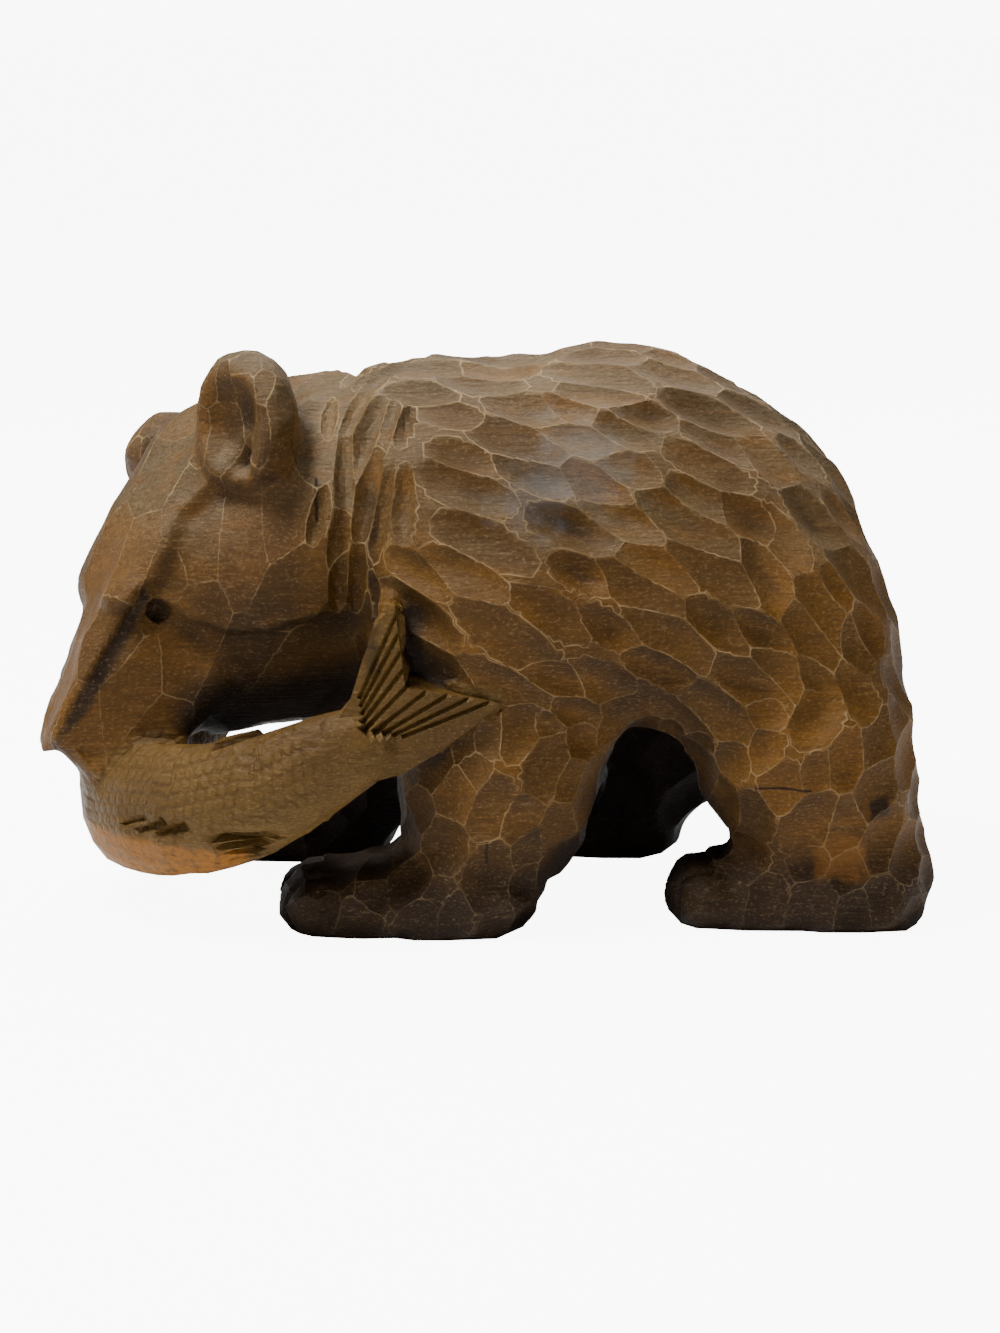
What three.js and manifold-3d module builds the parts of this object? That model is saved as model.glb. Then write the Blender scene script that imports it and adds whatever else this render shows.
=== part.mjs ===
// A bear carved from one block of wood, standing on four feet with a salmon across its mouth.
// Units are millimetres, +Z is up. The bear looks along -X and its left flank faces -Y.
import * as THREE from "three";
import { mergeVertices } from "three/addons/utils/BufferGeometryUtils.js";
import Module from "manifold-3d";

// Driving sizes. The free form is sketched point by point and brought to these three.
const LENGTH = 292;
const WIDTH = 130;
const HEIGHT = 187;
const GOUGE_LENGTH = 19;
const GOUGE_WIDTH = 10.5;
const GOUGE_DEPTH = 5.6;
const SCOOP_WIDTH = 11;
const FACE_CUT_WIDTH = 15;
const RUFF_CUT_WIDTH = 5.5;
const FIN_PROUD = 2.6;
const RAY_COUNT = 9;
const RAY_WIDTH = 1.9;
const RAY_DEPTH = 1.5;
const CLAW_WIDTH = 3.2;
const CLAW_DEPTH = 3.4;
const EYE_LENGTH = 5.4;
const EYE_HEIGHT = 3.4;
const EYE_DEPTH = 2.4;
const HATCH_WIDTH = 1.8;
const HATCH_DEPTH = 1.4;
const GRID_STEP = 3.1;
const CARVED_TRIANGLES = 8000;

const BLEND = 24;
const wasm = await Module();
wasm.setup();

// Points of the sketch
function at(x, y, z) {
  return new THREE.Vector3(x, y, z);
}

// Repeatable scatter
let seed = 20261;
function scatter() {
  seed = (seed * 16807) % 2147483647;
  return seed / 2147483647;
}

// Soft joining and cutting of distances
function softMin(a, b, k) {
  const h = Math.max(k - Math.abs(a - b), 0) / k;
  return Math.min(a, b) - h * h * k * 0.25;
}
function softMax(a, b, k) {
  return -softMin(-a, -b, k);
}
const SQUARE = [new THREE.Vector3(1, 0, 0), new THREE.Vector3(0, 1, 0), new THREE.Vector3(0, 0, 1)];

// Egg shape round a centre, with three radii along three axes
function egg(centre, radii, axes = SQUARE) {
  const [u, v, w] = axes;
  const [ru, rv, rw] = radii;
  return (x, y, z) => {
    const dx = x - centre.x;
    const dy = y - centre.y;
    const dz = z - centre.z;
    const a = (dx * u.x + dy * u.y + dz * u.z) / ru;
    const b = (dx * v.x + dy * v.y + dz * v.z) / rv;
    const c = (dx * w.x + dy * w.y + dz * w.z) / rw;
    const near = Math.sqrt(a * a + b * b + c * c);
    const slope = Math.sqrt((a * a) / (ru * ru) + (b * b) / (rv * rv) + (c * c) / (rw * rw));
    return slope < 1e-6 ? -Math.min(ru, rv, rw) : (near * (near - 1)) / slope;
  };
}

// Rounded limb between two points, stretched across the body or upward
function limb(from, to, startRadius, endRadius, wide = 1, tall = 1) {
  const run = to.clone().sub(from);
  const run2 = run.lengthSq();
  return (x, y, z) => {
    const dx = x - from.x;
    const dy = y - from.y;
    const dz = z - from.z;
    const t = Math.min(1, Math.max(0, (dx * run.x + dy * run.y + dz * run.z) / run2));
    const a = dx - run.x * t;
    const b = (dy - run.y * t) / wide;
    const c = (dz - run.z * t) / tall;
    return Math.sqrt(a * a + b * b + c * c) - (startRadius + (endRadius - startRadius) * t);
  };
}

// Flat cut: what lies on the side of the normal goes
function flat(point, normal) {
  const n = normal.clone().normalize();
  const offset = n.dot(point);
  return (x, y, z) => x * n.x + y * n.y + z * n.z - offset;
}
function join(k, ...parts) {
  return (x, y, z) => {
    let d = parts[0](x, y, z);
    for (let i = 1; i < parts.length; i++) {
      d = softMin(d, parts[i](x, y, z), k);
    }
    return d;
  };
}
function trim(k, form, ...cuts) {
  return (x, y, z) => {
    let d = form(x, y, z);
    for (const cut of cuts) {
      d = softMax(d, cut(x, y, z), k);
    }
    return d;
  };
}
function hollow(k, form, tool) {
  return (x, y, z) => softMax(form(x, y, z), -tool(x, y, z), k);
}

// Trunk: back, rump, chest and shoulder hump over a flat belly
const trunk = trim(14,
  join(BLEND,
    egg(at(34, 2, 116), [64, 54, 67]),
    egg(at(75, 0, 92), [53, 56, 67]),
    egg(at(-12, 0, 112), [42, 56, 60]),
    egg(at(-32, 0, 138), [26, 38, 38]),
    egg(at(30, 0, 100), [76, 55, 34])),
  flat(at(30, 0, 64), at(0, 0, -1)));
const shoulders = trim(5, trunk,
  flat(at(-40, -54, 100), at(-1, -0.35, 0.05)),
  flat(at(-46, 54, 100), at(-1, 0.35, 0.05)));
const tail = egg(at(127, 3, 72), [11, 10, 12]);

// Legs: the near ones stand back, the far ones are a step ahead
const nearFore = join(10,
  limb(at(2, -30, 98), at(-2, -35, 50), 36, 32, 0.8),
  limb(at(-2, -35, 50), at(-10, -37, 18), 32, 24, 0.8),
  limb(at(-12, -38, 9), at(-61, -38, 8), 18, 13.5, 1.4));
const farFore = join(10,
  limb(at(-8, 30, 95), at(-30, 35, 48), 34, 25, 0.85),
  limb(at(-30, 35, 48), at(-50, 36, 14), 25, 16, 0.95),
  limb(at(-56, 37, 7), at(-92, 38, 7), 14, 12, 1.4));
const nearHind = join(7,
  limb(at(88, -28, 90), at(98, -35, 54), 38, 35, 0.75),
  limb(at(98, -35, 54), at(113, -37, 20), 35, 25, 0.85),
  limb(at(121, -38, 8), at(65, -38, 8), 18, 13.5, 1.35));
const farHind = join(10,
  limb(at(80, 28, 90), at(62, 34, 46), 40, 27, 0.78),
  limb(at(62, 34, 46), at(50, 36, 14), 27, 17, 0.9),
  limb(at(46, 37, 8), at(8, 37, 8), 15, 12.5, 1.4));
const body = join(14, shoulders, nearFore, farFore, nearHind, farHind);

// Neck and throat
const neck = join(14,
  egg(at(-56, 3, 130), [34, 44, 44]),
  egg(at(-62, 2, 92), [30, 30, 32]),
  egg(at(-82, 0, 82), [30, 24, 24]));

// Head frame: along the muzzle, toward the near ear, out of the forehead
const HEAD = at(-94, 8.6, 139);
const NOSE = at(-150, -30, 61);
const NEAR_EAR = at(-82, -27, 164);
const FAR_EAR = at(-115, 43, 138);
const alongMuzzle = NOSE.clone().sub(NEAR_EAR.clone().add(FAR_EAR).multiplyScalar(0.5)).normalize();
const acrossHead = NEAR_EAR.clone().sub(FAR_EAR);
acrossHead.addScaledVector(alongMuzzle, -acrossHead.dot(alongMuzzle)).normalize();
const outOfFace = alongMuzzle.clone().cross(acrossHead);
const headAxes = [alongMuzzle, acrossHead, outOfFace];
function turned(forward, across, out) {
  return new THREE.Vector3()
    .addScaledVector(alongMuzzle, forward)
    .addScaledVector(acrossHead, across)
    .addScaledVector(outOfFace, out);
}
function headPoint(forward, across, out) {
  return HEAD.clone().add(turned(forward, across, out));
}

const skull = join(10,
  egg(headPoint(4, 0, -22), [46, 42, 46], headAxes),
  egg(headPoint(14, 25, -28), [32, 23, 26], headAxes),
  egg(headPoint(14, -25, -28), [32, 23, 26], headAxes));
const muzzle = trim(4,
  egg(headPoint(58, 0, -22), [84, 46, 46], headAxes),
  flat(headPoint(50, 0, 17), turned(0.13, 0, 1)),
  flat(headPoint(106, 0, 0), turned(1, 0, 0.08)),
  flat(headPoint(104, 9, 5), turned(0.27, 1, 0.06)),
  flat(headPoint(104, -9, 5), turned(0.27, -1, 0.06)),
  flat(headPoint(80, 0, -30), turned(0.15, 0, -1)));

// Ears: rounded shells with a dished bowl
function ear(centre, facing, wide, tall) {
  const n = facing.clone().normalize();
  const side = n.clone().cross(SQUARE[2]).normalize();
  const up = side.clone().cross(n);
  const axes = [n, side, up];
  const shell = egg(centre, [13, wide, tall], axes);
  const bowl = egg(centre.clone().addScaledVector(n, 12).addScaledVector(up, -2), [11, wide * 0.68, tall * 0.7], axes);
  const pit = egg(centre.clone().addScaledVector(n, 8).addScaledVector(up, -tall * 0.55).addScaledVector(side, -4), [10, 5, 6], axes);
  return hollow(3, hollow(5, shell, bowl), pit);
}
const nearEar = ear(NEAR_EAR, at(-0.66, -0.74, 0.12), 19, 23);
const farEar = ear(FAR_EAR.clone().add(at(4, 0, 0)), at(-0.35, 0.93, 0.1), 16, 18);
const head = join(5, join(7, skull, muzzle), nearEar, farEar);

// Salmon: from its tail on the near shoulder, through the jaws and round to the far side
const salmonRun = new THREE.CatmullRomCurve3([
  at(-42, -57, 67), at(-58, -57, 60), at(-78, -54, 49), at(-102, -44, 41),
  at(-123, -22, 37), at(-125, 4, 39), at(-114, 28, 44), at(-100, 40, 50)]);
const SALMON_PARTS = 16;
function salmonRadius(t) {
  return 5.5 + 9.5 * Math.sin(Math.PI * Math.min(1, 0.04 + t * 0.86)) ** 0.75;
}
const salmonParts = [];
for (let i = 0; i < SALMON_PARTS; i++) {
  const from = i / SALMON_PARTS;
  const to = (i + 1) / SALMON_PARTS;
  const start = salmonRun.getPoint(from);
  const end = salmonRun.getPoint(to);
  salmonParts.push(limb(start, end, salmonRadius(from), salmonRadius(to), 0.95, 1.45));
}
const salmon = join(2, ...salmonParts);

const bear = join(6, join(8, body, neck), head);
const ground = flat(at(0, 0, 0), at(0, 0, -1));
const carved = trim(0.4, join(2, join(3, bear, tail), salmon), ground);

// Dense skin: one point in each grid cell that the surface crosses
const LOW = [-164, -76, -6];
const COUNTS = [320, 152, 206].map((span) => Math.ceil(span / GRID_STEP) + 1);
const [NX, NY, NZ] = COUNTS;
const BLOCK = 4;
function nodeAt(i, j, k) {
  return (k * NY + j) * NX + i;
}
function gridPoint(i, j, k) {
  return [LOW[0] + i * GRID_STEP, LOW[1] + j * GRID_STEP, LOW[2] + k * GRID_STEP];
}
function sampleGrid() {
  const values = new Float32Array(NX * NY * NZ);
  const reach = BLOCK * GRID_STEP * 1.5;
  for (let k0 = 0; k0 < NZ; k0 += BLOCK) {
    for (let j0 = 0; j0 < NY; j0 += BLOCK) {
      for (let i0 = 0; i0 < NX; i0 += BLOCK) {
        const middle = carved(...gridPoint(i0 + BLOCK / 2, j0 + BLOCK / 2, k0 + BLOCK / 2));
        const far = Math.abs(middle) > reach;
        for (let k = k0; k < Math.min(k0 + BLOCK, NZ); k++) {
          for (let j = j0; j < Math.min(j0 + BLOCK, NY); j++) {
            for (let i = i0; i < Math.min(i0 + BLOCK, NX); i++) {
              values[nodeAt(i, j, k)] = far ? middle : carved(...gridPoint(i, j, k));
            }
          }
        }
      }
    }
  }
  return values;
}
const CELL_EDGES = [];
const EDGE_BETWEEN = new Map();
for (let a = 0; a < 8; a++) {
  for (let bit = 1; bit < 8; bit *= 2) {
    if (!(a & bit)) {
      EDGE_BETWEEN.set(a * 8 + (a | bit), CELL_EDGES.length);
      EDGE_BETWEEN.set((a | bit) * 8 + a, CELL_EDGES.length);
      CELL_EDGES.push([a, a | bit]);
    }
  }
}
const CELL_SIDES = [];
for (const [u, v, w] of [[1, 2, 4], [2, 4, 1], [4, 1, 2]]) {
  for (const base of [0, w]) {
    CELL_SIDES.push([base, base | u, base | u | v, base | v]);
  }
}

// Crossed edges of a cell, gathered into the separate sheets of surface that pass through it
function sheetsOf(inside) {
  const sheet = CELL_EDGES.map(([a, b], e) => (inside[a] === inside[b] ? -1 : e));
  function link(a, b) {
    const from = sheet[a];
    const to = sheet[b];
    sheet.forEach((value, e) => {
      sheet[e] = value === from ? to : value;
    });
  }
  for (const side of CELL_SIDES) {
    const rim = side.map((corner, i) => EDGE_BETWEEN.get(corner * 8 + side[(i + 1) % 4]));
    const crossed = rim.filter((e) => sheet[e] >= 0);
    if (crossed.length === 2) {
      link(crossed[0], crossed[1]);
    } else if (crossed.length === 4) {
      side.forEach((corner, i) => inside[corner] && link(rim[i], rim[(i + 3) % 4]));
    }
  }
  return sheet;
}
function skin(values) {
  const points = [];
  const faces = [];
  const pointOnEdge = new Int32Array(values.length * 12).fill(-1);
  for (let k = 0; k < NZ - 1; k++) {
    for (let j = 0; j < NY - 1; j++) {
      for (let i = 0; i < NX - 1; i++) {
        const corner = [];
        for (let a = 0; a < 8; a++) {
          corner.push(values[nodeAt(i + (a & 1), j + ((a >> 1) & 1), k + (a >> 2))]);
        }
        const inside = corner.map((value) => value < 0);
        if (inside.every((value) => value === inside[0])) {
          continue;
        }
        const sheet = sheetsOf(inside);
        for (const kind of new Set(sheet.filter((value) => value >= 0))) {
          const sum = [0, 0, 0];
          let crossings = 0;
          CELL_EDGES.forEach(([a, b], e) => {
            if (sheet[e] === kind) {
              const share = corner[a] / (corner[a] - corner[b]);
              for (let d = 0; d < 3; d++) {
                sum[d] += ((a >> d) & 1) * (1 - share) + ((b >> d) & 1) * share;
              }
              crossings++;
              pointOnEdge[nodeAt(i, j, k) * 12 + e] = points.length;
            }
          });
          points.push(gridPoint(i + sum[0] / crossings, j + sum[1] / crossings, k + sum[2] / crossings));
        }
      }
    }
  }
  const step = [[1, 0, 0], [0, 1, 0], [0, 0, 1]];
  for (let k = 1; k < NZ - 1; k++) {
    for (let j = 1; j < NY - 1; j++) {
      for (let i = 1; i < NX - 1; i++) {
        const inside = values[nodeAt(i, j, k)] < 0;
        for (let d = 0; d < 3; d++) {
          const [di, dj, dk] = step[d];
          if (values[nodeAt(i + di, j + dj, k + dk)] < 0 === inside) {
            continue;
          }
          const u = (d + 1) % 3;
          const v = (d + 2) % 3;
          const ring = [[1, 1], [0, 1], [0, 0], [1, 0]].map(([p, q]) => {
            const back = [0, 1, 2].map((axis) => p * step[u][axis] + q * step[v][axis]);
            const start = (p << u) | (q << v);
            const edge = EDGE_BETWEEN.get(start * 8 + (start | (1 << d)));
            return pointOnEdge[nodeAt(i - back[0], j - back[1], k - back[2]) * 12 + edge];
          });
          if (!inside) {
            ring.reverse();
          }
          faces.push([ring[0], ring[1], ring[2]], [ring[0], ring[2], ring[3]]);
        }
      }
    }
  }
  return { points, faces };
}

// Outward direction of the smooth form
function outward(x, y, z) {
  const h = 0.6;
  const n = new THREE.Vector3(
    carved(x + h, y, z) - carved(x - h, y, z),
    carved(x, y + h, z) - carved(x, y - h, z),
    carved(x, y, z + h) - carved(x, y, z - h));
  return n.normalize();
}

// Direction and size of the tool marks at a place on the bear
function toolMark(x, y, z) {
  const onHead = head(x, y, z) < Math.min(neck(x, y, z), body(x, y, z)) + 1;
  if (onHead) {
    const nearAnEar = Math.min(nearEar(x, y, z), farEar(x, y, z)) < 2.5;
    if (nearAnEar) {
      return { run: at(0.2, 0, 1), long: 10, wide: 7, deep: GOUGE_DEPTH * 0.45 };
    }
    return { run: alongMuzzle, long: FACE_CUT_WIDTH * 1.5, wide: FACE_CUT_WIDTH, deep: GOUGE_DEPTH * 0.4 };
  }
  if (x < -34 && z > 108) {
    return { run: at(0.15, 0, 1), long: GOUGE_LENGTH, wide: RUFF_CUT_WIDTH, deep: GOUGE_DEPTH * 0.85 };
  }
  if (z < 22) {
    return { run: at(1, 0, 0.2), long: SCOOP_WIDTH * 1.3, wide: SCOOP_WIDTH * 0.8, deep: GOUGE_DEPTH * 0.6 };
  }
  if (z < 66) {
    return { run: at(0.4, 0, 1), long: SCOOP_WIDTH * 1.15, wide: SCOOP_WIDTH, deep: GOUGE_DEPTH * 0.8 };
  }
  const steep = THREE.MathUtils.smoothstep(x, 40, 110);
  const fall = THREE.MathUtils.lerp(0.62, 1.9, steep);
  return { run: at(1, 0, -fall), long: GOUGE_LENGTH, wide: GOUGE_WIDTH, deep: GOUGE_DEPTH };
}

// Scatter of tool strokes that keep their own length and width apart
function strokesOver(points, normals) {
  const order = points.map((_, i) => i);
  for (let i = order.length - 1; i > 0; i--) {
    const j = Math.floor(scatter() * (i + 1));
    [order[i], order[j]] = [order[j], order[i]];
  }
  const strokes = [];
  for (const i of order) {
    const [x, y, z] = points[i];
    if (z < 1 || salmon(x, y, z) < bear(x, y, z) + 2) {
      continue;
    }
    const n = normals[i];
    const mark = toolMark(x, y, z);
    const sway = at(scatter() - 0.5, scatter() - 0.5, scatter() - 0.5).multiplyScalar(0.35);
    const run = mark.run.clone().normalize().add(sway);
    run.addScaledVector(n, -run.dot(n)).normalize();
    const stroke = { x, y, z, n, run, side: n.clone().cross(run), long: mark.long, wide: mark.wide };
    stroke.deep = mark.deep * (0.85 + 0.3 * scatter());
    const clear = strokes.every((other) => {
      const dx = x - other.x;
      const dy = y - other.y;
      const dz = z - other.z;
      const s = (dx * other.run.x + dy * other.run.y + dz * other.run.z) / other.long;
      const t = (dx * other.side.x + dy * other.side.y + dz * other.side.z) / other.wide;
      const h = (dx * other.n.x + dy * other.n.y + dz * other.n.z) / other.wide;
      return s * s + t * t * 0.8 + h * h > 1;
    });
    if (clear) {
      strokes.push(stroke);
    }
  }
  return strokes;
}

// Each stroke sinks a shallow scoop; the deepest one wins, so ridges stand where two scoops meet
function scoopDepth(stroke, x, y, z) {
  const dx = x - stroke.x;
  const dy = y - stroke.y;
  const dz = z - stroke.z;
  const h = dx * stroke.n.x + dy * stroke.n.y + dz * stroke.n.z;
  const lift = Math.max(0, Math.abs(h) - 6) / 7;
  const s = (dx * stroke.run.x + dy * stroke.run.y + dz * stroke.run.z) / (stroke.long * 1.25);
  const t = (dx * stroke.side.x + dy * stroke.side.y + dz * stroke.side.z) / (stroke.wide * 1.2);
  return stroke.deep * (1 - s * s - t * t - lift * lift);
}

// Faces that two scoops share are split along the ridge between them
function splitAtRidges(points, faces, normals, strokes, owner) {
  const ridgePoints = new Map();
  function ridgePoint(a, b) {
    const key = a < b ? a * 1e6 + b : b * 1e6 + a;
    if (!ridgePoints.has(key)) {
      const lead = (p) => (owner[a] < 0 ? 0 : scoopDepth(strokes[owner[a]], ...points[p]))
        - (owner[b] < 0 ? 0 : scoopDepth(strokes[owner[b]], ...points[p]));
      const share = THREE.MathUtils.clamp(lead(a) / (lead(a) - lead(b)), 0.15, 0.85);
      ridgePoints.set(key, points.length);
      points.push(points[a].map((value, d) => value + (points[b][d] - value) * share));
      normals.push(normals[a].clone().lerp(normals[b], share).normalize());
      owner.push(owner[a]);
    }
    return ridgePoints.get(key);
  }
  const out = [];
  for (const face of faces) {
    const kinds = new Set(face.map((p) => owner[p])).size;
    if (kinds === 1) {
      out.push(face);
    } else if (kinds === 2) {
      const turn = [0, 1, 2].find((i) => owner[face[(i + 1) % 3]] === owner[face[(i + 2) % 3]]);
      const [a, b, c] = [0, 1, 2].map((i) => face[(turn + i) % 3]);
      const ab = ridgePoint(a, b);
      const ac = ridgePoint(a, c);
      out.push([a, ab, ac], [ab, b, c], [ab, c, ac]);
    } else {
      const [a, b, c] = face;
      const ab = ridgePoint(a, b);
      const bc = ridgePoint(b, c);
      const ca = ridgePoint(c, a);
      out.push([a, ab, ca], [b, bc, ab], [c, ca, bc], [ab, bc, ca]);
    }
  }
  return out;
}
const SURFACE_ALLOWANCE = 0.68;
function carve(points, faces, normals, strokes) {
  const owner = [];
  function deepest([x, y, z], n) {
    let depth = 0;
    let full = 0;
    let winner = -1;
    strokes.forEach((stroke, i) => {
      const d = scoopDepth(stroke, x, y, z) * THREE.MathUtils.smoothstep(stroke.n.dot(n), 0.1, 0.6);
      if (d > depth) {
        depth = d;
        full = stroke.deep;
        winner = i;
      }
    });
    return { depth: depth - full * SURFACE_ALLOWANCE, winner };
  }
  points.forEach((point, p) => owner.push(deepest(point, normals[p]).winner));
  const ridged = splitAtRidges(points, faces, normals, strokes, owner);
  const moved = points.map((point, p) => {
    const [x, y, z] = point;
    const bare = THREE.MathUtils.smoothstep(salmon(x, y, z) - bear(x, y, z), -1, 3);
    const sole = THREE.MathUtils.smoothstep(z, 0.4, 3);
    const sink = deepest(point, normals[p]).depth * bare * sole;
    return [x - normals[p].x * sink, y - normals[p].y * sink, z - normals[p].z * sink];
  });
  return { points: moved, faces: ridged };
}

// Thinning: the edge whose loss changes the surface least goes first
function planeCost(q, x, y, z) {
  return q[0] * x * x + 2 * q[1] * x * y + 2 * q[2] * x * z + 2 * q[3] * x
    + q[4] * y * y + 2 * q[5] * y * z + 2 * q[6] * y
    + q[7] * z * z + 2 * q[8] * z + q[9];
}
function bestPlace(q, a, b) {
  const [xx, xy, xz, xw, yy, yz, yw, zz, zw] = q;
  const c0 = yy * zz - yz * yz;
  const c1 = xz * yz - xy * zz;
  const c2 = xy * yz - xz * yy;
  const det = xx * c0 + xy * c1 + xz * c2;
  const middle = a.map((value, d) => (value + b[d]) / 2);
  if (Math.abs(det) < 1e-7) {
    return middle;
  }
  const place = [
    -(c0 * xw + c1 * yw + c2 * zw) / det,
    -(c1 * xw + (xx * zz - xz * xz) * yw + (xy * xz - xx * yz) * zw) / det,
    -(c2 * xw + (xy * xz - xx * yz) * yw + (xx * yy - xy * xy) * zw) / det];
  const drift = Math.hypot(...place.map((value, d) => value - middle[d]));
  const span = Math.hypot(...a.map((value, d) => value - b[d]));
  return drift < span * 1.5 ? place : middle;
}
function faceNormal(a, b, c) {
  const ux = b[0] - a[0];
  const uy = b[1] - a[1];
  const uz = b[2] - a[2];
  const vx = c[0] - a[0];
  const vy = c[1] - a[1];
  const vz = c[2] - a[2];
  return [uy * vz - uz * vy, uz * vx - ux * vz, ux * vy - uy * vx];
}
class Heap {
  constructor() {
    this.items = [];
  }
  push(item) {
    const list = this.items;
    let i = list.push(item) - 1;
    while (i > 0) {
      const up = (i - 1) >> 1;
      if (list[up].cost <= item.cost) {
        break;
      }
      list[i] = list[up];
      i = up;
    }
    list[i] = item;
  }
  pop() {
    const list = this.items;
    const top = list[0];
    const last = list.pop();
    if (list.length) {
      let i = 0;
      for (;;) {
        let child = 2 * i + 1;
        if (child >= list.length) {
          break;
        }
        if (child + 1 < list.length && list[child + 1].cost < list[child].cost) {
          child++;
        }
        if (list[child].cost >= last.cost) {
          break;
        }
        list[i] = list[child];
        i = child;
      }
      list[i] = last;
    }
    return top;
  }
}
function thin(points, faces, target) {
  const quadrics = points.map(() => new Float64Array(10));
  const around = points.map(() => new Set());
  const stamp = new Int32Array(points.length);
  faces.forEach((face, f) => {
    const [a, b, c] = face.map((p) => points[p]);
    const n = faceNormal(a, b, c);
    const size = Math.hypot(n[0], n[1], n[2]);
    face.forEach((p) => around[p].add(f));
    if (size < 1e-9) {
      return;
    }
    const [x, y, z] = n.map((value) => value / size);
    const w = -(x * a[0] + y * a[1] + z * a[2]);
    const terms = [x * x, x * y, x * z, x * w, y * y, y * z, y * w, z * z, z * w, w * w];
    const hold = size * 0.004;
    face.forEach((p) => {
      const q = quadrics[p];
      const [px, py, pz] = points[p];
      terms.forEach((term, i) => {
        q[i] += term * size;
      });
      [[0, 1], [3, -px], [4, 1], [6, -py], [7, 1], [8, -pz]].forEach(([i, value]) => {
        q[i] += hold * value;
      });
      q[9] += hold * (px * px + py * py + pz * pz);
    });
  });
  function neighbours(p) {
    const ring = new Set();
    around[p].forEach((f) => faces[f].forEach((v) => ring.add(v)));
    ring.delete(p);
    return ring;
  }
  const heap = new Heap();
  function offer(a, b) {
    const q = quadrics[a].map((value, i) => value + quadrics[b][i]);
    const place = bestPlace(q, points[a], points[b]);
    heap.push({ a, b, place, cost: planeCost(q, ...place), sa: stamp[a], sb: stamp[b] });
  }
  faces.forEach(([a, b, c]) => [[a, b], [b, c], [c, a]].forEach(([p, q]) => p < q && offer(p, q)));
  function turnsOver(p, other, place) {
    for (const f of around[p]) {
      if (faces[f].includes(other)) {
        continue;
      }
      const [a, b, c] = faces[f];
      const before = faceNormal(points[a], points[b], points[c]);
      const after = faceNormal(...faces[f].map((v) => (v === p ? place : points[v])));
      const size = Math.hypot(after[0], after[1], after[2]);
      const dot = before[0] * after[0] + before[1] * after[1] + before[2] * after[2];
      if (size < 1e-3 || dot < 0.25 * size * Math.hypot(before[0], before[1], before[2])) {
        return true;
      }
    }
    return false;
  }
  let count = faces.length;
  while (count > target && heap.items.length) {
    const { a, b, place, sa, sb } = heap.pop();
    if (stamp[a] !== sa || stamp[b] !== sb) {
      continue;
    }
    const ringA = neighbours(a);
    const shared = [...neighbours(b)].filter((v) => ringA.has(v));
    if (shared.length !== 2 || turnsOver(a, b, place) || turnsOver(b, a, place)) {
      continue;
    }
    for (const f of around[b]) {
      if (faces[f].includes(a)) {
        faces[f].filter((v) => v !== b).forEach((v) => around[v].delete(f));
        faces[f] = null;
        count--;
      } else {
        faces[f] = faces[f].map((v) => (v === b ? a : v));
        around[a].add(f);
      }
    }
    around[b].clear();
    stamp[b] = -1;
    stamp[a]++;
    points[a] = place;
    quadrics[b].forEach((value, i) => {
      quadrics[a][i] += value;
    });
    neighbours(a).forEach((v) => offer(a, v));
  }
  return { points, faces: faces.filter(Boolean) };
}

// Closed bodies for joining and cutting
function asSolid(geometry) {
  const bare = new THREE.BufferGeometry();
  bare.setAttribute("position", geometry.getAttribute("position"));
  bare.setIndex(geometry.getIndex());
  const merged = mergeVertices(bare, 1e-4);
  return new wasm.Manifold(new wasm.Mesh({
    numProp: 3,
    vertProperties: new Float32Array(merged.getAttribute("position").array),
    triVerts: new Uint32Array(merged.getIndex().array),
  }));
}
function meshOf(solid) {
  const { vertProperties, triVerts } = solid.getMesh();
  const geometry = new THREE.BufferGeometry();
  geometry.setAttribute("position", new THREE.Float32BufferAttribute(vertProperties, 3));
  geometry.setIndex(new THREE.Uint32BufferAttribute(triVerts, 1));
  geometry.computeVertexNormals();
  return geometry;
}

// Straight V cut from one point to another; it opens toward the given side
function vCut(from, to, wide, deep, open) {
  const along = to.clone().sub(from);
  const span = along.length();
  along.normalize();
  const out = open.clone().addScaledVector(along, -open.dot(along)).normalize();
  const side = out.clone().cross(along);
  const lift = 7;
  const flare = (wide / 2) * (1 + lift / deep);
  const section = new THREE.Shape([
    new THREE.Vector2(0, -deep), new THREE.Vector2(flare, lift), new THREE.Vector2(-flare, lift)]);
  const cutter = new THREE.ExtrudeGeometry(section, { depth: span, bevelEnabled: false });
  cutter.applyMatrix4(new THREE.Matrix4().makeBasis(side, out, along).setPosition(from));
  return asSolid(cutter);
}

// Flat leaf of wood standing on the near side, outlined in the x-z plane
function leaf(outline, face, thick) {
  const shape = new THREE.Shape(outline.map(([x, z]) => new THREE.Vector2(x, z)));
  const geometry = new THREE.ExtrudeGeometry(shape, { depth: thick, bevelEnabled: false });
  geometry.rotateX(Math.PI / 2);
  geometry.translate(0, face + thick, 0);
  return asSolid(geometry);
}

const values = sampleGrid();
const rough = skin(values);
const normals = rough.points.map((point) => outward(...point));
const strokes = strokesOver(rough.points, normals);
const worked = carve(rough.points, rough.faces, normals, strokes);
const thinned = thin(worked.points, worked.faces, CARVED_TRIANGLES);
const block = new THREE.BufferGeometry();
block.setAttribute("position", new THREE.Float32BufferAttribute(thinned.points.flat(), 3));
block.setIndex(thinned.faces.flat());

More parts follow.
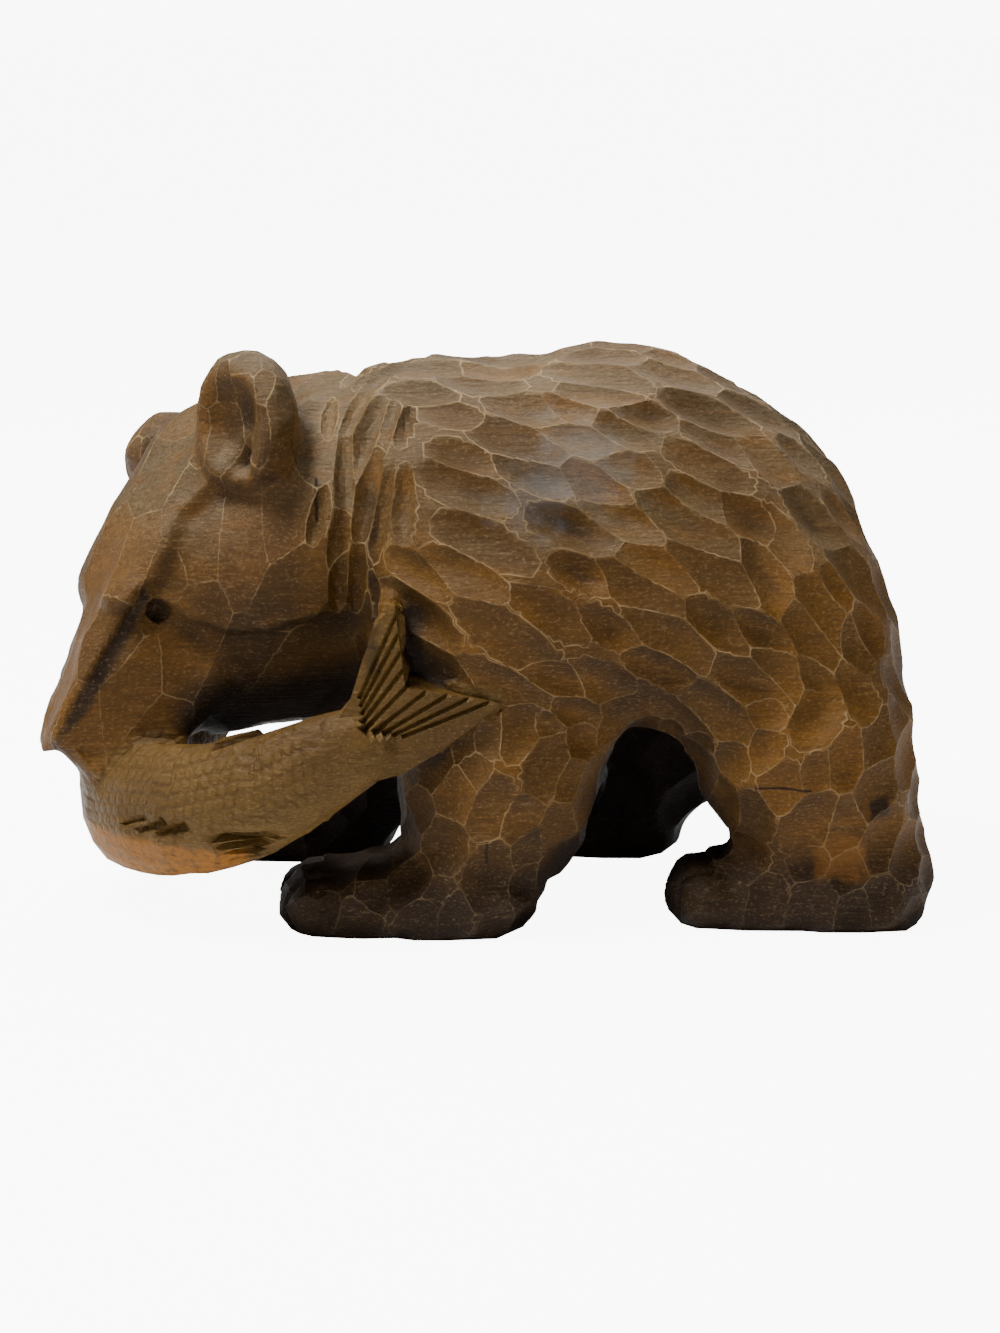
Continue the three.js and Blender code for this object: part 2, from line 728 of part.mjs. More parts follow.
// Tail fin laid over the near shoulder, with rays fanned from the root of the tail
const FIN_FACE = -58 - FIN_PROUD;
const FIN_THICK = 16;
const finRoot = at(-57, FIN_FACE, 60);
const finTip = [-36, 111];
const finNotch = [-33, 85];
const finHeel = [-3, 79.5];
const tailFin = leaf([
  [-58, 53], [-45, 54], [-34, 57], [-24, 63], [-13, 71], finHeel, finNotch, finTip,
  [-41, 107], [-46, 95], [-50, 82], [-58, 68]], FIN_FACE, FIN_THICK);
const rays = [];
for (let i = 0; i < RAY_COUNT; i++) {
  const share = (i + 0.5) / RAY_COUNT;
  const upper = share < 0.5;
  const t = upper ? share * 2 : share * 2 - 1;
  const [from, to] = upper ? [finTip, finNotch] : [finNotch, finHeel];
  const end = at(from[0] + (to[0] - from[0]) * t, FIN_FACE, from[1] + (to[1] - from[1]) * t);
  const begin = finRoot.clone().lerp(end, 0.45);
  rays.push(vCut(begin, end.lerp(begin, -0.08), RAY_WIDTH, RAY_DEPTH, at(0, -1, 0)));
}
const dorsalFin = leaf([[-96, 58], [-93, 66], [-79, 70.5], [-76, 66], [-80, 58]], -54, 14);

// Toes, eyes, nostrils and the marks of the lower fins
const cuts = [...rays];
function toes(footX, footY) {
  for (const shift of [-9, 0, 9]) {
    const y = footY + shift;
    cuts.push(vCut(at(footX - 22, y, 3), at(footX, y, 25), CLAW_WIDTH, CLAW_DEPTH, at(-1, 0, 1)));
  }
}
toes(-64, -38);
toes(-95, 38);
toes(61, -38);
toes(5, 38);
for (const [side, nose] of [[1, 9], [-1, -9]]) {
  const eye = headPoint(51, side * 21.5, 1);
  const reach = turned(EYE_LENGTH / 2, 0, 0);
  cuts.push(vCut(eye.clone().sub(reach), eye.clone().add(reach), EYE_HEIGHT, EYE_DEPTH, turned(0, side, 0)));
  const nostril = headPoint(101, nose, -1);
  cuts.push(vCut(nostril, headPoint(98, nose, -8), HATCH_WIDTH, HATCH_DEPTH, turned(0.3, side, 0)));
}
for (let i = 0; i < 4; i++) {
  const z = 38 - i * 3;
  cuts.push(vCut(at(-95 + i * 2, -61, z - 1), at(-73 - i * 2, -61, z + 2), HATCH_WIDTH, HATCH_DEPTH + 3, at(0, -1, -0.3)));
}
cuts.push(vCut(at(-114, 43, 30), at(-106, 52, 58), HATCH_WIDTH, HATCH_DEPTH + 1, at(-0.5, 1, 0)));
for (let i = 0; i < 3; i++) {
  const x = -121 + i * 7;
  cuts.push(vCut(at(x - 4, -46 - i * 3, 36), at(x + 6, -50 - i * 3, 41), HATCH_WIDTH, HATCH_DEPTH + 2, at(-0.4, -1, 0)));
}

let statue = asSolid(block);
for (const piece of [tailFin, dorsalFin]) {
  statue = statue.add(piece);
}
for (const cut of cuts) {
  statue = statue.subtract(cut);
}

// Loose chips are swept away, then it is stood on its soles, centred and brought to the named size
const [whole] = statue.decompose().sort((a, b) => b.volume() - a.volume());
const finished = meshOf(whole);
finished.computeBoundingBox();
const { min, max } = finished.boundingBox;
finished.translate(-(min.x + max.x) / 2, -(min.y + max.y) / 2, -min.z);
finished.scale(LENGTH / (max.x - min.x), WIDTH / (max.y - min.y), HEIGHT / (max.z - min.z));
const wood = new THREE.MeshStandardMaterial({ color: 0x8a6a3c, roughness: 0.72, metalness: 0, flatShading: true });
wood.name = "carved_wood";
const carving = new THREE.Mesh(finished, wood);
carving.name = "bear_with_salmon";
const object = new THREE.Group();
object.name = "carved_bear";
object.add(carving);
export default object;
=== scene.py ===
"""A carved wooden bear with a salmon in its mouth, cut from one block and seen on a pale studio floor."""

import math

import bmesh
import bpy
import numpy as np
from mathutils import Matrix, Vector
from mathutils.bvhtree import BVHTree
from mathutils.kdtree import KDTree


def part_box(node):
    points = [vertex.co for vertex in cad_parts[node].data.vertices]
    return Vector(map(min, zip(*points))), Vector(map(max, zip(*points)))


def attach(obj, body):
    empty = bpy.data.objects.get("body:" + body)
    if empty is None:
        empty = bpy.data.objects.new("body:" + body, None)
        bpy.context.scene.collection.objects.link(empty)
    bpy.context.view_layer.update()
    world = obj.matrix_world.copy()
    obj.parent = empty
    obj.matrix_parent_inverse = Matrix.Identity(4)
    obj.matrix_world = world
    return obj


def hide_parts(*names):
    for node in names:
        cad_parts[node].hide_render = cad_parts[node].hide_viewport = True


bl_info = {
    "name": "Carved bear",
    "version": (1, 0, 0),
    "blender": (4, 5, 0),
    "location": "3D View > Sidebar > Carved bear",
    "description": "Builds a gouge-carved wooden bear with its salmon and a studio stage",
    "category": "Object",
}

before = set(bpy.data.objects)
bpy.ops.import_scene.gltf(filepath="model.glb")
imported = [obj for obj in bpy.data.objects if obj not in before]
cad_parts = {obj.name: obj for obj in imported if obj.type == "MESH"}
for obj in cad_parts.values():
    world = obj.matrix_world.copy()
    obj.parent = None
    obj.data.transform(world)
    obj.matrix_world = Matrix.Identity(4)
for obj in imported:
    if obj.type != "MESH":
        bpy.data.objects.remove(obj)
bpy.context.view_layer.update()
NODE = "bear_with_salmon"
LOW, HIGH = (np.array(corner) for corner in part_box(NODE))
# Shift in millimetres and scale that bring the carving's drawing onto the solid
DRAWING_SHIFT, DRAWING_SCALE = (5.87, 2.47, 0.02), (1.0044, 0.992, 1.0057)


def spot(x, y, z):
    """Place in metres of a point of the carving's drawing, given in its millimetres"""
    return (np.array((x, y, z)) + DRAWING_SHIFT) * DRAWING_SCALE / 1000


# The salmon's middle line from the root of its tail round to its head
SALMON_LINE = np.array([spot(*p) for p in (
    (-42, -57, 67), (-58, -57, 60), (-78, -54, 49), (-102, -44, 41),
    (-123, -22, 37), (-125, 4, 39), (-114, 28, 44), (-100, 40, 50),
)])
# The tail fin's outline on the shoulder, x and z
FIN = np.array([spot(x, 0, z)[[0, 2]] for x, z in (
    (-60, 51), (-45, 52), (-33, 55), (-23, 61), (-13, 69), (-1, 78), (-1, 83), (-31, 87), (-34, 113),
    (-43, 108), (-48, 95), (-52, 82), (-60, 68),
)])
HEAD = spot(-94, 8.6, 139)
ALONG_HEAD, ACROSS_HEAD, OUT_OF_FACE = (np.array(v) for v in (
    (-0.46, -0.34, -0.82), (0.355, -0.918, 0.178), (-0.81, -0.21, 0.545)))
NEAR_EAR, FAR_EAR = spot(-82, -27, 164), spot(-111, 43, 138)
# Ridges between the planes of the near side of the face: points in millimetres, the side that lies
# deeper, how much deeper in millimetres, and whether the step is a keen one
FACE_RIDGES = (
    # Brow, from the ear's foot to the eye
    (((-89, -23, 143), (-98, -22, 135), (-101, -25, 127), (-107, -28, 114), (-113, -29, 111)),
     (0.8, 0, -0.6), 2.6, False),
    # Cheek, over the hollow of the throat
    (((-115, -30, 107), (-105, -29, 107), (-95, -27, 102), (-84, -27, 98), (-71, -33, 99), (-55, -33, 104)),
     (0, 0, -1), 3.0, False),
    # Jaw, down and back from the cheek
    (((-94, -27, 99), (-85, -26, 90), (-77, -22, 79)), (-0.76, 0, -0.65), 1.0, False),
    # Edge between the side and the bridge of the muzzle
    (((-113, -30, 108), (-123, -30, 92), (-133, -31, 75), (-143, -26, 57)), (0.86, 0, -0.5), 1.2, True),
)
# How far a plane's step reaches, and the height and width of the raised line along it
RIDGE_FADE, RIDGE_RISE, RIDGE_SPREAD = 0.019, 0.0008, 0.0026
# How near a line edges are finer, by what share of the finest edge, and how far its wear reaches
LINE_NEAR, LINE_EDGE, LINE_WEAR = 0.0028, 0.55, 0.0020
# Throat, far side of the brow and rump: place, reach and push of the form there
PUSHES = (
    ((-0.096, 0.002, 0.066), 0.028, (0, 0, -0.0065)),
    ((-0.128, 0.012, 0.122), 0.030, (-0.0045, 0, 0.001)),
    ((0.132, 0.0, 0.120), 0.035, (-0.0025, 0, -0.001)),
)
# Half thickness of the salmon at its root and what it gains at its middle
FISH_ROOT, FISH_SWELL = 0.0055, 0.0095
# The salmon is taller than thick, so heights above its middle line count for this share
FISH_TALL = 0.68
# The tail fin lies outside this plane, and the dorsal fin outside its own near this height
FIN_PLANE, DORSAL_PLANE, DORSAL_HEIGHT = -0.0515, -0.046, 0.066
# Both eyes, counted from the head's middle, and how far the finely cut place round them reaches
EYES, EYE_REACH = ((0.051, 0.0215, 0.001), (0.051, -0.0215, 0.001)), 0.006
# Marks on the near side: middle, half size, blur, strength and colour name
MARKS = (
    # Fine cracks across the hind leg, the foreleg and behind the ear
    ((0.0925, -0.058, 0.0505), (0.0085, 0.012, 0.0002), 0.0004, 0.9, "dark"),
    ((-0.0015, -0.056, 0.030), (0.0002, 0.012, 0.0042), 0.0004, 0.9, "dark"),
    ((-0.054, -0.036, 0.141), (0.0002, 0.012, 0.0065), 0.0006, 0.9, "dark"),
    # Painted shade in the fold between the ruff and the shoulder
    ((-0.037, -0.058, 0.116), (0.0008, 0.022, 0.026), 0.0026, 0.55, "dark"),
    # Light torn patch low on the hind leg and a knot above it
    ((0.112, -0.057, 0.026), (0.0062, 0.012, 0.0060), 0.0030, 0.35, "belly"),
    ((0.124, -0.055, 0.043), (0.0022, 0.012, 0.0022), 0.0014, 0.8, "dark"),
    # Grey smudges on the shoulder
    ((0.029, -0.043, 0.152), (0.008, 0.02, 0.006), 0.010, 0.22, "smudge"),
    ((0.012, -0.048, 0.141), (0.005, 0.02, 0.004), 0.009, 0.18, "smudge"),
)
# The place of each paw's front, and the spacing, depth and width of its claw cuts
PAWS = [spot(x, y, 8) for x, y in ((-72, -38), (-103, 38), (54, -38), (-3, 37))]
CLAW_SPACING, CLAW_DEPTH, CLAW_WIDTH = 0.0095, 0.0017, 0.0019
# Edges of the zones that are struck in their own way
FACE_BACK, FACE_FOOT, RUFF_BACK, RUFF_FOOT = -0.052, 0.052, -0.026, 0.078
LEG_TOP, RUMP_FRONT = 0.074, 0.085
# Reach round the near and the far ear that is struck lightly
NEAR_EAR_REACH, FAR_EAR_REACH = 0.026, 0.022
# Places tried for a stroke, the shallowest cut, and the reach that no stroke passes
STROKE_TRIES, SHALLOWEST, STROKE_REACH = 26000, -0.0016, 0.034
# Share of its depth that a stroke has in its middle, and how far it fades on faces turned away
BOWL_MIDDLE, AWAY_FADE = 0.2, 0.004
STROKE_SEED, SKY_SEED = 7311, 5
# Rays to the sky from each place, their length and their start above the wood
SKY_RAYS, RAY_LENGTH, RAY_LIFT = 40, 0.09, 0.0012
# Passes that round the coarse form and the divided one, each a step in and a step back out
COARSE_PASSES, FINE_PASSES, ROUNDING_STEPS = 14, 8, (0.6, -0.62)
# Passes that even out the normals that the strokes are driven along
NORMAL_PASSES = 6
# The form never passes the solid's box by more than this
BOX_SLACK = 0.002
# Light of the sky on the wood, and the white that only the camera sees
SKY_STRENGTH = 0.62
SEEN_WHITE = 12.0
SEEN_SHARE = 0.75
# Lamps: name, place, size and power
LAMPS = (
    ("key", (-0.42, -0.14, 1.0), 0.28, 50.0),
    ("top", (0.3, 0.6, 1.1), 0.8, 28.0),
    ("fill", (0.5, -1.4, 0.45), 0.9, 3.0),
)
LAMP_AIM = (0, 0, 0.08)
# The camera looks at this point from this direction and distance
CAMERA_AIM = (0.00587, 0.00247, 0.095)
CAMERA_AZIMUTH, CAMERA_ELEVATION, CAMERA_DISTANCE = math.radians(-3), math.radians(14), 0.9
CAMERA_LENS, CAMERA_SHIFT = 72.9, -0.0424


class CarvedBearSizes(bpy.types.PropertyGroup):
    """Sizes of the carving's surface"""

    ridge_angle: bpy.props.FloatProperty(
        name="Ridge angle", description="Edges bent more than this stay crisp",
        default=math.radians(16), unit="ROTATION",
    )
    finest_edge: bpy.props.FloatProperty(
        name="Finest edge", description="Edges longer than this are divided", default=0.0027, unit="LENGTH",
    )
    gouge_depth: bpy.props.FloatProperty(
        name="Gouge depth", description="Depth of the flank's gouge strokes", default=0.0046, unit="LENGTH",
    )
    gouge_length: bpy.props.FloatProperty(
        name="Gouge length", description="Spacing of strokes along the flank", default=0.0190, unit="LENGTH",
    )
    gouge_width: bpy.props.FloatProperty(
        name="Gouge width", description="Spacing of strokes across the flank", default=0.0080, unit="LENGTH",
    )
    grain_depth: bpy.props.FloatProperty(
        name="Grain depth", description="Height of the torn wood fibres", default=0.0006, unit="LENGTH",
    )
    scale_pitch: bpy.props.FloatProperty(
        name="Scale pitch", description="Distance between the salmon's scale rows",
        default=0.0036, unit="LENGTH",
    )


def colour(name, description, default):
    """A colour that the user can change"""
    return bpy.props.FloatVectorProperty(
        name=name, description=description, default=default, size=3, subtype="COLOR", min=0, max=1,
    )


class CarvedBearColours(bpy.types.PropertyGroup):
    """Stains of the wood, the dark one also used for painted shade, and the tone of the stage"""

    golden: colour("Golden stain", "Middle of the flanks", (0.046, 0.0200, 0.0016))
    weathered: colour("Weathered top", "Greyed wood of the back", (0.047, 0.0325, 0.0160))
    # The dark stain also serves as painted shade in hollows, recesses, undersides and the far legs
    dark: colour("Dark stain", "Feet and hollows", (0.0030, 0.0011, 0.0003))
    worn: colour("Worn ridge", "Pale wood on the ridges", (0.140, 0.096, 0.046))
    salmon: colour("Salmon", "Stain on the fish", (0.044, 0.0235, 0.0042))
    belly: colour("Bare belly", "Bare wood under the fish", (0.100, 0.038, 0.0035))
    smudge: colour("Smudge", "Bluish grey rubbed into the shoulder", (0.060, 0.066, 0.072))
    floor: colour("Floor", "Studio floor and backdrop", (0.96, 0.955, 0.945))


def smooth(value, low, high):
    """Soft step from 0 at low to 1 at high"""
    t = np.clip((value - low) / (high - low), 0, 1)
    return t * t * (3 - 2 * t)


def past(value, edge, blur):
    """0 up to an edge, rising to 1 over the blur beyond it"""
    return smooth(value - edge, 0, blur)


def short_of(value, edge, blur):
    """0 from an edge on, rising to 1 over the blur before it"""
    return smooth(edge - value, 0, blur)


def merged_copy(node):
    """Mesh copy of a CAD node with its loose triangles joined"""
    bm = bmesh.new()
    bm.from_mesh(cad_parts[node].data)
    bmesh.ops.remove_doubles(bm, verts=bm.verts, dist=2e-6)
    return bm


def mesh_arrays(mesh):
    """Vertex places and edges of a mesh as arrays"""
    places = np.empty(len(mesh.vertices) * 3)
    mesh.vertices.foreach_get("co", places)
    edges = np.empty(len(mesh.edges) * 2, np.int64)
    mesh.edges.foreach_get("vertices", edges)
    return places.reshape(-1, 3), edges.reshape(-1, 2)


def spread(values, edges, times=1):
    """Average of a value over neighbouring vertices"""
    a, b = edges.T
    count = np.bincount(a, minlength=len(values)) + np.bincount(b, minlength=len(values))
    for _ in range(times):
        columns = values.reshape(len(values), -1)
        total = np.stack([
            np.bincount(a, column[b], len(values)) + np.bincount(b, column[a], len(values))
            for column in columns.T
        ], 1)
        values = (total / count[:, None]).reshape(values.shape)
    return values


def nearest_on_line(places, line):
    """Distance to a polyline, share of its length and height above it, for each place"""
    steps = np.linalg.norm(np.diff(line, axis=0), axis=1)
    starts = np.concatenate([[0], np.cumsum(steps)])
    best = np.full(len(places), 1e9)
    along = np.zeros(len(places))
    above = np.zeros(len(places))
    for i, step in enumerate(steps):
        run = (line[i + 1] - line[i]) / step
        reach = np.clip((places - line[i]) @ run, 0, step)
        offset = places - line[i] - reach[:, None] * run
        distance = np.linalg.norm(offset * [1, 1, FISH_TALL], axis=1)
        nearer = distance < best
        best[nearer] = distance[nearer]
        along[nearer] = (starts[i] + reach)[nearer]
        above[nearer] = offset[nearer, 2]
    return best, along, above


def add_value(mesh, name, values):
    """Stores one number for each vertex"""
    layer = mesh.attributes.new(name, "FLOAT", "POINT")
    layer.data.foreach_set("value", values.astype(np.float32))


class Nodes:
    """Short way to lay out a material's nodes"""

    def __init__(self, tree):
        self.tree = tree

    def add(self, kind, inputs=(), **settings):
        """A node with its settings and inputs"""
        node = self.tree.nodes.new(kind)
        for key, value in settings.items():
            setattr(node, key, value)
        for key, value in dict(inputs).items():
            self.put(node.inputs[key], value)
        return node

    def put(self, socket, value):
        """Links a socket or sets its value"""
        if isinstance(value, bpy.types.NodeSocket):
            self.tree.links.new(value, socket)
        else:
            socket.default_value = value

    def math(self, operation, a, b=0.0, c=0.0):
        """One step of arithmetic on two or three numbers"""
        return self.add("ShaderNodeMath", {0: a, 1: b, 2: c}, operation=operation).outputs[0]

    def value(self, name):
        """A number stored on the vertices"""
        return self.add("ShaderNodeAttribute", attribute_name=name).outputs["Fac"]

    def mix(self, share, a, b):
        """Colour a with a share of colour b"""
        node = self.add("ShaderNodeMix", data_type="RGBA")
        self.put(node.inputs[0], share)
        for socket, tint in ((node.inputs[6], a), (node.inputs[7], b)):
            self.put(socket, (*tint, 1) if isinstance(tint, tuple) else tint)
        return node.outputs[2]

    def noise(self, vector, scale, detail=4.0, rough=0.55):
        """Soft random pattern"""
        inputs = {"Vector": vector, "Scale": scale, "Detail": detail, "Roughness": rough}
        return self.add("ShaderNodeTexNoise", inputs).outputs["Fac"]

    def ramp(self, value, low, high):
        """0 at low and 1 at high, straight between"""
        inputs = {"Value": value, "From Min": low, "From Max": high}
        return self.add("ShaderNodeMapRange", inputs, clamp=True).outputs["Result"]

    def stretch(self, vector, factors):
        """Places scaled along each axis"""
        return self.add("ShaderNodeVectorMath", {0: vector, 1: factors}, operation="MULTIPLY").outputs[0]


def box_mask(n, place, centre, half, blur):
    """1 inside a box with torn edges, 0 outside"""
    torn = n.add("ShaderNodeTexNoise", {"Vector": place, "Scale": 170.0, "Detail": 3.0}).outputs["Color"]
    shift = n.add("ShaderNodeVectorMath", {0: torn, 1: (0.5, 0.5, 0.5)}, operation="SUBTRACT").outputs[0]
    shift = n.stretch(shift, (blur * 3, blur * 3, blur * 3))
    moved = n.add("ShaderNodeVectorMath", {0: place, 1: shift}, operation="ADD").outputs[0]
    gap = n.add("ShaderNodeVectorMath", {0: moved, 1: centre}, operation="SUBTRACT").outputs[0]
    size = n.add("ShaderNodeVectorMath", {0: gap}, operation="ABSOLUTE").outputs[0]
    parts = n.add("ShaderNodeSeparateXYZ", {0: size})
    mask = 1.0
    for axis, reach in enumerate(half):
        mask = n.math("MULTIPLY", n.ramp(parts.outputs[axis], reach + blur, reach), mask)
    return mask


def scale_rows(n, sizes):
    """Rims of rounded scales in offset rows, counted along and across the salmon"""
    along = n.math("DIVIDE", n.value("fish_along"), sizes.scale_pitch)
    across = n.math("DIVIDE", n.value("fish_across"), sizes.scale_pitch)
    row = n.math("FLOOR", across)
    shifted = n.math("ADD", along, n.math("MULTIPLY", n.math("MODULO", row, 2.0), 0.5))
    cell_x = n.math("SUBTRACT", n.math("FRACT", shifted), 0.5)
    cell_y = n.math("SUBTRACT", n.math("FRACT", across), 0.5)
    arc = n.math("SQRT", n.math("ADD", n.math("POWER", cell_x, 2.0), n.math("POWER", cell_y, 2.0)))
    return n.math("MULTIPLY", n.ramp(arc, 0.3, 0.5), n.value("scaled"))


def carved_wood(colours, sizes):
    """Stained wood: golden flanks, greyed top, painted shade in the hollows, pale ridges and torn fibres"""
    material = bpy.data.materials.new("carved_wood")
    material.use_nodes = True
    tree = material.node_tree
    tree.nodes.clear()
    n = Nodes(tree)

    def tint(name):
        return tuple(getattr(colours, name))

    warm = tuple(min(1, c * k) for c, k in zip(tint("golden"), (1.75, 1.5, 1.2)))
    deep = tuple(c * 0.42 for c in tint("golden"))
    place = n.add("ShaderNodeTexCoord").outputs["Object"]
    fibres = n.noise(n.stretch(place, (60, 700, 900)), 1.0, 5.0, 0.65)
    long_grain = n.noise(n.stretch(place, (14, 130, 170)), 1.0, 3.0)
    pores = n.noise(n.stretch(place, (0.55, 1, 1)), 1300.0, 4.0, 0.7)
    clouds = n.noise(place, 26.0, 4.0)
    uneven = n.math("SUBTRACT", clouds, 0.5)
    specks = n.noise(place, 420.0, 3.0, 0.7)
    blotches = n.noise(place, 17.0, 6.0, 0.62)

    def layer(skin, mask, strength, tone):
        return n.mix(n.math("MULTIPLY", mask, strength), skin, tone)

    # Golden wood, greyed towards the top, with warmer bands along the grain
    top = n.math("MULTIPLY_ADD", uneven, 0.8, n.value("weather"))
    skin = n.mix(n.ramp(top, 0.25, 0.95), tint("golden"), tint("weathered"))
    skin = layer(skin, n.ramp(long_grain, 0.48, 0.7), 0.3, warm)
    skin = n.mix(n.value("fish"), skin, tint("salmon"))
    # Each stroke a little darker or warmer than its neighbours, then blotches and torn fibres
    skin = layer(skin, n.ramp(n.value("tone"), 0.45, 0.0), 0.5, deep)
    skin = layer(skin, n.ramp(n.value("tone"), 0.6, 1.0), 0.25, warm)
    skin = layer(skin, n.ramp(blotches, 0.56, 0.36), 0.72, deep)
    skin = layer(skin, n.ramp(fibres, 0.52, 0.34), 0.5, deep)
    # Dark stain in its zones, most of them painted shade (undersides, legs, throat, face sides, muzzle edge,
    # claw cuts), and painted shade in the hollows
    stain = n.math("MULTIPLY_ADD", uneven, 0.7, n.value("stain"))
    skin = layer(skin, n.ramp(stain, 0.15, 0.85), 0.88, tint("dark"))
    skin = layer(skin, n.value("hollow"), 0.85, tint("dark"))
    # Dark and pale pores, and pale flecks where the stain is rubbed off
    skin = layer(skin, n.ramp(pores, 0.5, 0.3), 0.55, deep)
    skin = layer(skin, n.ramp(pores, 0.54, 0.72), 0.3, tint("worn"))
    rubbed = n.ramp(n.noise(place, 55.0), 0.42, 0.62)
    flecks = n.math("MULTIPLY", n.ramp(fibres, 0.55, 0.72), rubbed)
    skin = layer(skin, flecks, 0.22, tint("worn"))
    for centre, half, blur, strength, name in MARKS:
        skin = layer(skin, box_mask(n, place, centre, half, blur), strength, tint(name))
    # Bare wood under the fish and pale wear on the ridges, less where the stain and the painted shade are
    # dark
    skin = layer(skin, n.value("belly"), n.ramp(specks, 0.3, 0.55), tint("belly"))
    worn = n.math("MULTIPLY", n.ramp(n.value("ridge"), 0.58, 1.0), n.ramp(n.noise(place, 90.0), 0.35, 0.65))
    kept_pale = n.math("MULTIPLY_ADD", n.value("weather"), 0.22, 0.65)
    kept_pale = n.math("MULTIPLY_ADD", n.value("stain"), -0.4, kept_pale)
    skin = layer(skin, worn, kept_pale, tint("worn"))
    # Painted shade, darkest where the carving hides the sky
    skin = layer(skin, n.ramp(n.value("shade"), 0.34, 0.72), 0.93, tint("dark"))
    scales = scale_rows(n, sizes)
    skin = layer(skin, scales, 0.22, deep)
    height = n.math("MULTIPLY_ADD", fibres, 1.0, n.math("MULTIPLY", scales, -0.7))
    height = n.math("MULTIPLY_ADD", specks, 0.35, n.math("MULTIPLY_ADD", pores, 0.5, height))
    bump = n.add("ShaderNodeBump", {"Height": height, "Strength": 0.85, "Distance": sizes.grain_depth})
    shader = n.add("ShaderNodeBsdfPrincipled", {
        "Base Color": skin,
        "Roughness": n.math("MULTIPLY_ADD", fibres, 0.3, 0.4),
        "Specular IOR Level": 0.07,
        "Normal": bump.outputs[0],
    })
    output = n.add("ShaderNodeOutputMaterial")
    tree.links.new(shader.outputs[0], output.inputs[0])
    return material


def inside_outline(points, outline):
    """Which 2D points lie inside a closed outline"""
    inside = np.zeros(len(points), bool)
    for a, b in zip(outline, np.roll(outline, -1, 0)):
        crosses = (a[1] > points[:, 1]) != (b[1] > points[:, 1])
        with np.errstate(divide="ignore", invalid="ignore"):
            reach = a[0] + (points[:, 1] - a[1]) * (b[0] - a[0]) / (b[1] - a[1])
        inside ^= crosses & (points[:, 0] < reach)
    return inside


def head_share(places):
    """Places counted along the muzzle, across the head and out of the face"""
    return (places - HEAD) @ np.stack([ALONG_HEAD, ACROSS_HEAD, OUT_OF_FACE], 1)


def zones(places):
    """How much each vertex belongs to the fish, the tail fin and the finely cut places left alone"""
    distance, along, above = nearest_on_line(places, SALMON_LINE)
    length = np.linalg.norm(np.diff(SALMON_LINE, axis=0), axis=1).sum()
    radius = FISH_ROOT + FISH_SWELL * np.sin(np.pi * np.clip(0.04 + along / length * 0.86, 0, 1)) ** 0.75
    fish = smooth(radius - distance, -0.0032, -0.0014)
    x, y, z = places.T
    fin = (inside_outline(places[:, [0, 2]], FIN) & (y < FIN_PLANE)).astype(float)
    dorsal = np.abs(x - spot(-85, 0, 0)[0]) < 0.014
    dorsal &= (np.abs(z - DORSAL_HEIGHT) < 0.008) & (y < DORSAL_PLANE)
    kept = np.maximum(fish, np.maximum(fin, dorsal.astype(float)))
    for eye in EYES:
        gap = np.linalg.norm(head_share(places) - eye, axis=1)
        kept = np.maximum(kept, 0.78 * smooth(EYE_REACH - gap, -0.002, 0))
    for paw in PAWS:
        near = (np.abs(x - paw[0]) < 0.013) & (np.abs(y - paw[1]) < 0.024) & (z < 0.027)
        kept = np.maximum(kept, near * 0.85)
    return fish, fin, np.maximum(kept, (z < 0.0008).astype(float)), along, above


def polyline_gap(places, line):
    """Offset of each place from the nearest point of a polyline"""
    best = np.full((len(places), 3), 1e3)
    for a, b in zip(line[:-1], line[1:]):
        share = np.clip((places - a) @ (b - a) / ((b - a) @ (b - a)), 0, 1)
        gap = places - a - share[:, None] * (b - a)
        nearer = np.linalg.norm(gap, axis=1) < np.linalg.norm(best, axis=1)
        best[nearer] = gap[nearer]
    return best


def far_twin(places):
    """The same places seen in the mirror plane of the head"""
    across = (places - HEAD) @ ACROSS_HEAD
    return places - 2 * across[..., None] * ACROSS_HEAD


def face_planes(places):
    """Depth below the face's ridges, distance to their lines and the painted shade beside the keen one"""
    deep = np.zeros(len(places))
    line_gap = np.full(len(places), 1.0)
    keen_edge_shade = np.zeros(len(places))
    for seen in (places, far_twin(places)):
        for points, below, step, keen in FACE_RIDGES:
            gap = polyline_gap(seen, np.array(points) / 1000)
            distance = np.linalg.norm(gap, axis=1)
            side = gap @ np.array(below)
            lower = smooth(side, -0.0003, 0.0018) if keen else smooth(side, -0.001, 0.005)
            deep += step / 1000 * lower * np.clip(1 - distance / RIDGE_FADE, 0, 1)
            deep -= RIDGE_RISE * np.exp(-(distance / RIDGE_SPREAD) ** 2)
            line_gap = np.minimum(line_gap, distance)
            # Painted shade on the lower side of the keen edge
            if keen:
                keen_edge_shade = np.maximum(keen_edge_shade, lower * short_of(distance, 0.008, 0.004))
    return deep, line_gap, keen_edge_shade


def swelling(places):
    """Push that fills out the throat and the far side of the brow and draws in the rump"""
    out = np.zeros_like(places)
    for centre, reach, push in PUSHES:
        gap = np.linalg.norm(places - centre, axis=1)
        out += np.array(push) * smooth(reach - gap, 0, reach * 0.8)[:, None]
    return out


def claw_cuts(places):
    """Depth of three upright cuts across the front of each paw"""
    x, y, z = places.T
    deep = np.zeros(len(places))
    for paw in PAWS:
        for across in (-CLAW_SPACING, 0, CLAW_SPACING):
            beside = np.abs(y - paw[1] - across)
            reach = short_of(np.abs(x - paw[0] - 0.004), 0.017, 0.004) * short_of(z, 0.022, 0.006)
            deep = np.maximum(deep, CLAW_DEPTH * np.clip(1 - beside / CLAW_WIDTH, 0, 1) * reach * (z > 0.001))
    return deep


